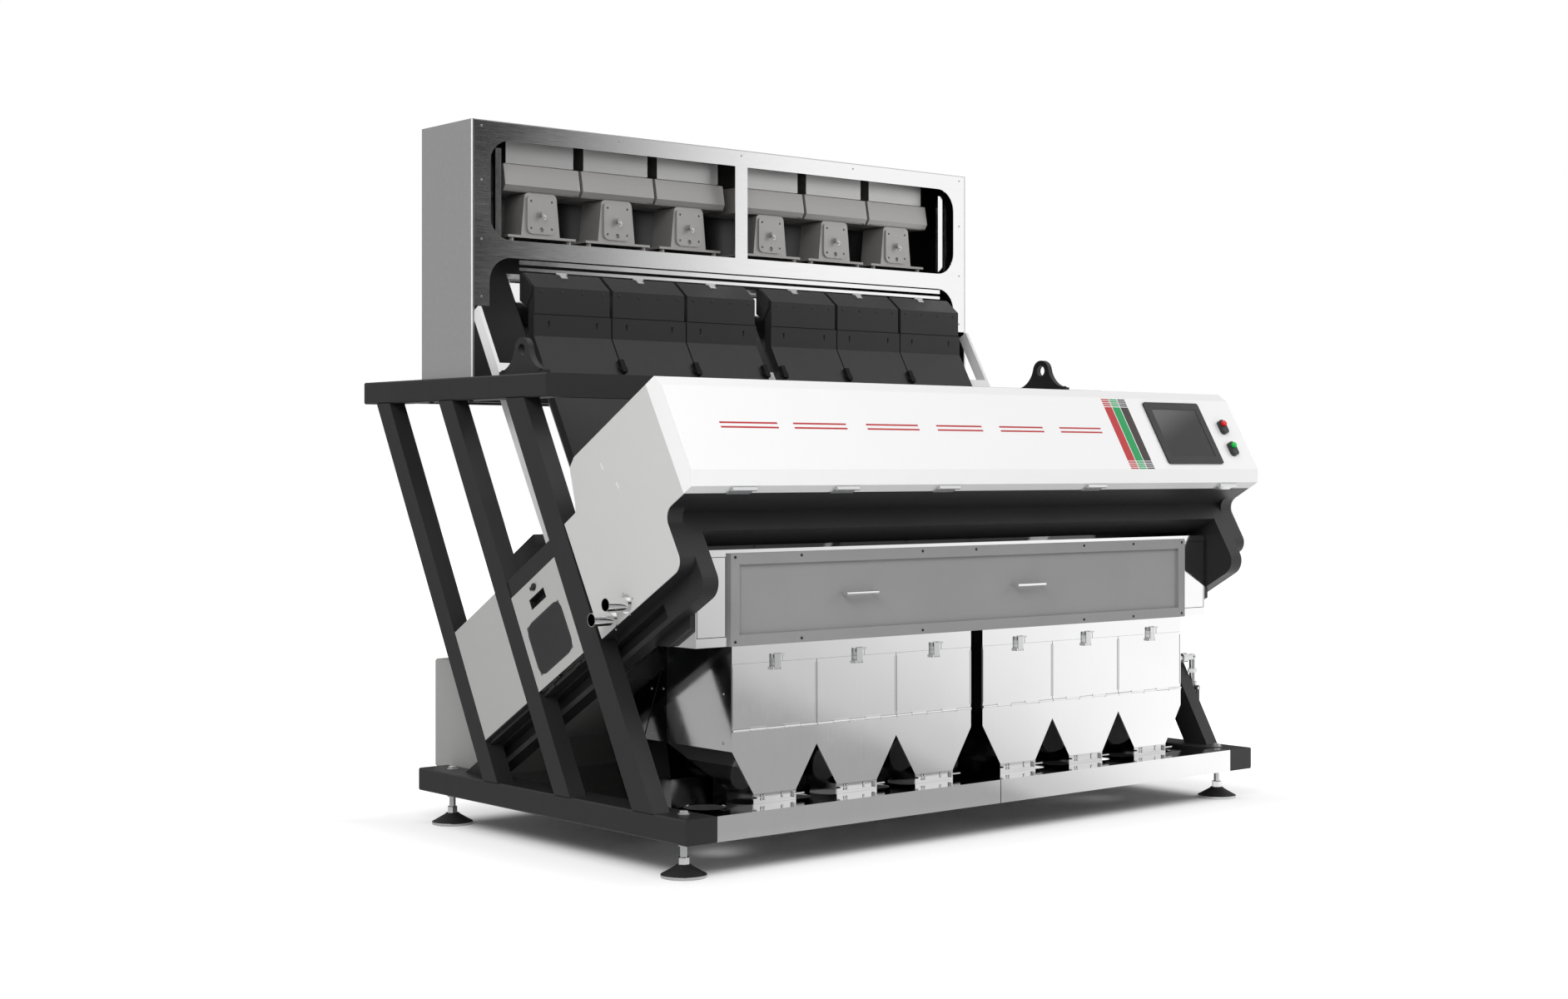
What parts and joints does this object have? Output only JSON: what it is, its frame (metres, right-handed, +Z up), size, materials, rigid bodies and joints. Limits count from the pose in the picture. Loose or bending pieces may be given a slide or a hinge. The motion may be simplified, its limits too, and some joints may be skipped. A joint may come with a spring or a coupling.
{
  "type": "optical colour sorter",
  "caption": "Wide chute-type optical colour sorter: leaning tube frame with feeder cabinet, inclined chutes, lift-up optics lid, sorting box and outlet funnels.",
  "frame": {"origin": "on the floor below the middle of the machine's outer box", "axes": "+X along the width towards the control screen's end, +Y from the lid towards the back, +Z up"},
  "size_m": [2.511, 1.7382, 2.202],
  "materials": {
    "frame_black": "satin powder coat",
    "cover_grey": "satin powder coat",
    "lid_white": "smooth satin coat",
    "access_grey": "satin powder coat",
    "stainless_brushed": "brushed",
    "stainless_polished": "polished",
    "bright_steel": "plated",
    "cast_alloy": "cast and bead-blasted",
    "black_plastic": "fine grain",
    "screen_glass": "dark display glass",
    "red_cap": "gloss",
    "green_cap": "gloss"
  },
  "bodies": {
    "frame": {"base_side_beams": "frame_black", "base_cross_beams": "frame_black", "base_front_rails": "stainless_polished", "outlet_tray": "stainless_polished", "foot_pads": "black_plastic", "foot_screws": "bright_steel", "frame_posts": "frame_black", "top_side_bars": "frame_black", "top_cross_beams": "frame_black", "lifting_eyes": "frame_black", "support_arms": "frame_black", "brace_bars": "frame_black", "side_frames": "frame_black", "side_covers": "cover_grey", "side_panels": "cover_grey", "front_box_shell": "cover_grey", "front_frame": "frame_black", "front_cameras": "cast_alloy", "sorting_box": "stainless_brushed", "access_cover": "access_grey", "cover_handles": "stainless_polished", "front_funnels": "stainless_polished", "rear_funnels": "stainless_polished", "rear_housing": "cover_grey", "rear_camera_box": "frame_black", "ejector_bar": "cast_alloy", "control_box": "cover_grey", "suction_pipes": "stainless_polished", "air_line": "bright_steel", "cabinet_shell": "stainless_brushed", "cabinet_front": "stainless_brushed", "feed_hoppers": "stainless_brushed", "feeder_drives": "cast_alloy", "chutes": "stainless_polished", "chute_covers": "frame_black", "chute_rails": "stainless_brushed"},
    "front_lid": {"front_lid": "lid_white", "lid_clips": "bright_steel", "screen_bezel": "black_plastic", "screen_glass": "screen_glass", "button_guards": "black_plastic"},
    "stop_button": {"stop_button": "red_cap"},
    "start_button": {"start_button": "green_cap"},
    "service_door": {"service_door": "cover_grey", "door_filter": "black_plastic"},
    "door_lock": {"door_lock": "bright_steel"},
    "valve_lever": {"valve_lever": "black_plastic"},
    "feeder_trays": {"feeder_trays": "cast_alloy"},
    "funnel_door_1": {"funnel_door_1": "stainless_polished"},
    "funnel_latch_1": {"funnel_latch_1": "bright_steel"},
    "funnel_door_2": {"funnel_door_2": "stainless_polished"},
    "funnel_latch_2": {"funnel_latch_2": "bright_steel"},
    "funnel_door_3": {"funnel_door_3": "stainless_polished"},
    "funnel_latch_3": {"funnel_latch_3": "bright_steel"},
    "funnel_door_4": {"funnel_door_4": "stainless_polished"},
    "funnel_latch_4": {"funnel_latch_4": "bright_steel"},
    "funnel_door_5": {"funnel_door_5": "stainless_polished"},
    "funnel_latch_5": {"funnel_latch_5": "bright_steel"},
    "funnel_door_6": {"funnel_door_6": "stainless_polished"},
    "funnel_latch_6": {"funnel_latch_6": "bright_steel"}
  },
  "joints": [
    {"name": "lid_lift", "type": "hinge", "parent": "frame", "child": "front_lid", "pos_m": [0.0165, -0.65891, 1.34326], "axis": [-1, 0, 0], "range_deg": [0, 70]},
    {"name": "stop_press", "type": "slide", "parent": "front_lid", "child": "stop_button", "axis": [0, 0.866, -0.5], "range_m": [0, 0.004], "stiffness_N_per_m": 800},
    {"name": "start_press", "type": "slide", "parent": "front_lid", "child": "start_button", "axis": [0, 0.866, -0.5], "range_m": [0, 0.004], "stiffness_N_per_m": 800},
    {"name": "service_tip", "type": "hinge", "parent": "frame", "child": "service_door", "pos_m": [-1.174, -0.25713, 0.52239], "axis": [0, -0.866, 0.5], "range_deg": [0, 80]},
    {"name": "lock_turn", "type": "hinge", "parent": "service_door", "child": "door_lock", "pos_m": [-1.1835, -0.11838, 0.76271], "axis": [1, 0, 0], "range_deg": [0, 90]},
    {"name": "valve_turn", "type": "hinge", "parent": "frame", "child": "valve_lever", "pos_m": [1.2365, -0.59777, 0.35], "axis": [0, -1, 0], "range_deg": [0, 90]},
    {"name": "feeder_shake", "type": "slide", "parent": "frame", "child": "feeder_trays", "axis": [0, 1, 0], "range_m": [-0.0015, 0.0015], "stiffness_N_per_m": 200000},
    {"name": "door_1_open", "type": "hinge", "parent": "frame", "child": "funnel_door_1", "pos_m": [-0.786, -0.73927, 0.379], "axis": [1, 0, 0], "range_deg": [0, 100]},
    {"name": "latch_1_flip", "type": "hinge", "parent": "funnel_door_1", "child": "funnel_latch_1", "pos_m": [-0.786, -0.74577, 0.547], "axis": [1, 0, 0], "range_deg": [0, 120]},
    {"name": "door_2_open", "type": "hinge", "parent": "frame", "child": "funnel_door_2", "pos_m": [-0.475, -0.73927, 0.379], "axis": [1, 0, 0], "range_deg": [0, 100]},
    {"name": "latch_2_flip", "type": "hinge", "parent": "funnel_door_2", "child": "funnel_latch_2", "pos_m": [-0.475, -0.74577, 0.547], "axis": [1, 0, 0], "range_deg": [0, 120]},
    {"name": "door_3_open", "type": "hinge", "parent": "frame", "child": "funnel_door_3", "pos_m": [-0.164, -0.73927, 0.379], "axis": [1, 0, 0], "range_deg": [0, 100]},
    {"name": "latch_3_flip", "type": "hinge", "parent": "funnel_door_3", "child": "funnel_latch_3", "pos_m": [-0.164, -0.74577, 0.547], "axis": [1, 0, 0], "range_deg": [0, 120]},
    {"name": "door_4_open", "type": "hinge", "parent": "frame", "child": "funnel_door_4", "pos_m": [0.197, -0.73927, 0.379], "axis": [1, 0, 0], "range_deg": [0, 100]},
    {"name": "latch_4_flip", "type": "hinge", "parent": "funnel_door_4", "child": "funnel_latch_4", "pos_m": [0.197, -0.74577, 0.547], "axis": [1, 0, 0], "range_deg": [0, 120]},
    {"name": "door_5_open", "type": "hinge", "parent": "frame", "child": "funnel_door_5", "pos_m": [0.508, -0.73927, 0.379], "axis": [1, 0, 0], "range_deg": [0, 100]},
    {"name": "latch_5_flip", "type": "hinge", "parent": "funnel_door_5", "child": "funnel_latch_5", "pos_m": [0.508, -0.74577, 0.547], "axis": [1, 0, 0], "range_deg": [0, 120]},
    {"name": "door_6_open", "type": "hinge", "parent": "frame", "child": "funnel_door_6", "pos_m": [0.819, -0.73927, 0.379], "axis": [1, 0, 0], "range_deg": [0, 100]},
    {"name": "latch_6_flip", "type": "hinge", "parent": "funnel_door_6", "child": "funnel_latch_6", "pos_m": [0.819, -0.74577, 0.547], "axis": [1, 0, 0], "range_deg": [0, 120]}
  ]
}
